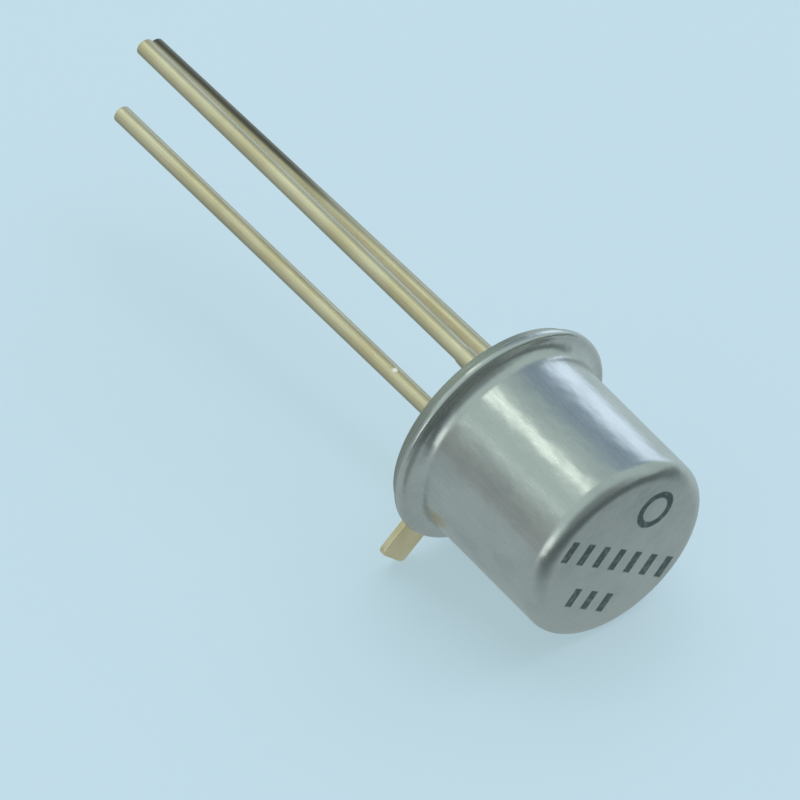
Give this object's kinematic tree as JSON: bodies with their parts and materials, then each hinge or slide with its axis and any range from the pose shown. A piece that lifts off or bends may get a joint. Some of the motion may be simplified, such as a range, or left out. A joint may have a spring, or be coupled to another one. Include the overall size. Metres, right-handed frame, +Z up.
{
  "type": "bipolar transistor",
  "caption": "Bipolar transistor in a small round metal can, with a flared rim, an index tab and three long straight leads, lying on its side.",
  "frame": {"origin": "on the table, midway along and across the part as it lies on its rim, its top edge and its tab's corner", "axes": "+X from the lead ends towards the can's top, which dips 6.6 degrees; +Z up; the index tab is on the -Y side"},
  "size_m": [0.0184, 0.0058, 0.0057],
  "materials": {
    "nickel_can": "satin nickel, drawn and lightly scuffed",
    "gold_plate": "pale satin gold plating",
    "sealing_glass": "glossy, dark green-grey",
    "silicon": "polished, with a metallised pattern",
    "gold_solder": "satin",
    "bonding_wire": "bright"
  },
  "bodies": {
    "root": {"can": "nickel_can", "header": "gold_plate", "glass_seal": "sealing_glass", "emitter_lead": "gold_plate", "base_lead": "gold_plate", "collector_lead": "gold_plate", "die": "silicon", "die_solder": "gold_solder", "emitter_wire": "bonding_wire", "base_wire": "bonding_wire"}
  },
  "joints": []
}
